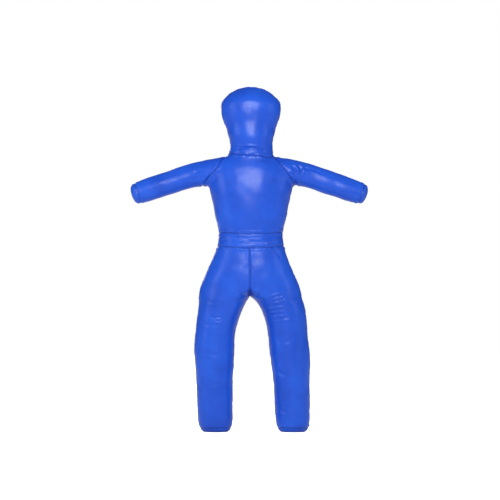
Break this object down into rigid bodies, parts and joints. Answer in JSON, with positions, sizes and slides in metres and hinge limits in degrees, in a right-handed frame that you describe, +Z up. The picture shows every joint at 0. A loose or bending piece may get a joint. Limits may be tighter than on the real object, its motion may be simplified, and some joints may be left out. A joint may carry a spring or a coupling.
{
  "type": "grappling dummy",
  "caption": "Standing child-size body for throwing and ground practice: stuffed leather head, torso, short arms and two thick legs, with bending joints and a zip in the back.",
  "frame": {"origin": "on the floor, in the middle of the whole body's width and depth", "axes": "+Z up the body from the soles to the crown, -Y the way the chest faces, +X towards the body's own left arm"},
  "size_m": [0.9474, 0.2068, 1.4],
  "materials": {
    "blue_leather": "smooth, semi-gloss royal blue",
    "filling": "packed textile offcuts",
    "zip_tape": "woven, matt",
    "zip_metal": "nickel plated"
  },
  "bodies": {
    "torso": {"torso_cover_front": "blue_leather", "torso_cover_back_left": "blue_leather", "torso_cover_back_right": "blue_leather", "torso_fill": "filling", "zip_tape_left": "zip_tape", "zip_tape_right": "zip_tape", "zip_teeth_left": "zip_metal", "zip_teeth_right": "zip_metal", "zip_top_stop_left": "zip_metal", "zip_top_stop_right": "zip_metal", "zip_bottom_stop": "zip_metal"},
    "head": {"head_cover_front": "blue_leather", "head_cover_back": "blue_leather", "head_fill": "filling"},
    "pelvis": {"waistband": "blue_leather", "pelvis_fill": "filling", "trouser_front_left": "blue_leather", "trouser_front_right": "blue_leather", "trouser_back_left": "blue_leather", "trouser_back_right": "blue_leather"},
    "zip_slider": {"zip_slider": "zip_metal"},
    "zip_pull": {"zip_pull": "zip_metal"},
    "shoulder_left": {"shoulder_cover_left": "blue_leather", "shoulder_fill_left": "filling"},
    "arm_left": {"arm_cover_left": "blue_leather", "arm_fill_left": "filling", "arm_end_cap_left": "blue_leather"},
    "thigh_left": {"thigh_fill_left": "filling"},
    "shin_left": {"shin_cover_front_left": "blue_leather", "shin_cover_back_left": "blue_leather", "shin_fill_left": "filling", "sole_left": "blue_leather"},
    "shoulder_right": {"shoulder_cover_right": "blue_leather", "shoulder_fill_right": "filling"},
    "arm_right": {"arm_cover_right": "blue_leather", "arm_fill_right": "filling", "arm_end_cap_right": "blue_leather"},
    "thigh_right": {"thigh_fill_right": "filling"},
    "shin_right": {"shin_cover_front_right": "blue_leather", "shin_cover_back_right": "blue_leather", "shin_fill_right": "filling", "sole_right": "blue_leather"}
  },
  "joints": [
    {"name": "neck_nod", "type": "hinge", "parent": "torso", "child": "head", "pos_m": [0, 0, 1.152], "axis": [1, 0, 0], "range_deg": [-20, 30], "deforming": ["head_cover_front", "head_cover_back"]},
    {"name": "waist_bend", "type": "hinge", "parent": "torso", "child": "pelvis", "pos_m": [0, 0, 0.78], "axis": [-1, 0, 0], "range_deg": [-15, 40], "deforming": ["torso_cover_front", "torso_cover_back_left", "torso_cover_back_right", "waistband"]},
    {"name": "shoulder_raise_left", "type": "hinge", "parent": "torso", "child": "shoulder_left", "pos_m": [0.178, 0, 1.0565], "axis": [0, -1, 0], "range_deg": [-20, 35], "deforming": ["shoulder_cover_left"]},
    {"name": "arm_swing_left", "type": "hinge", "parent": "shoulder_left", "child": "arm_left", "pos_m": [0.2587, 0, 1.02981], "axis": [-0.314, 0, -0.9494], "range_deg": [-20, 45], "deforming": ["arm_cover_left"]},
    {"name": "shoulder_raise_right", "type": "hinge", "parent": "torso", "child": "shoulder_right", "pos_m": [-0.178, 0, 1.0565], "axis": [0, 1, 0], "range_deg": [-20, 35], "deforming": ["shoulder_cover_right"]},
    {"name": "arm_swing_right", "type": "hinge", "parent": "shoulder_right", "child": "arm_right", "pos_m": [-0.2587, 0, 1.02981], "axis": [-0.314, 0, 0.9494], "range_deg": [-20, 45], "deforming": ["arm_cover_right"]},
    {"name": "hip_flex_left", "type": "hinge", "parent": "pelvis", "child": "thigh_left", "pos_m": [0.114, 0, 0.578], "axis": [-1, 0, 0], "range_deg": [-15, 45], "deforming": ["trouser_front_left", "trouser_back_left"]},
    {"name": "knee_flex_left", "type": "hinge", "parent": "thigh_left", "child": "shin_left", "pos_m": [0.157, 0, 0.38], "axis": [1, 0, 0], "range_deg": [0, 55], "deforming": ["shin_cover_front_left", "shin_cover_back_left"]},
    {"name": "hip_flex_right", "type": "hinge", "parent": "pelvis", "child": "thigh_right", "pos_m": [-0.111, 0, 0.578], "axis": [-1, 0, 0], "range_deg": [-15, 45], "deforming": ["trouser_front_right", "trouser_back_right"]},
    {"name": "knee_flex_right", "type": "hinge", "parent": "thigh_right", "child": "shin_right", "pos_m": [-0.144, 0, 0.38], "axis": [1, 0, 0], "range_deg": [0, 55], "deforming": ["shin_cover_front_right", "shin_cover_back_right"]},
    {"name": "zip_slide", "type": "slide", "parent": "torso", "child": "zip_slider", "axis": [0, 0, 1], "range_m": [-0.19, 0], "deforming": ["zip_teeth_left", "zip_teeth_right"]},
    {"name": "zip_pull_lift", "type": "hinge", "parent": "zip_slider", "child": "zip_pull", "pos_m": [0, 0.10135, 1.058], "axis": [1, 0, 0], "range_deg": [0, 170]}
  ]
}
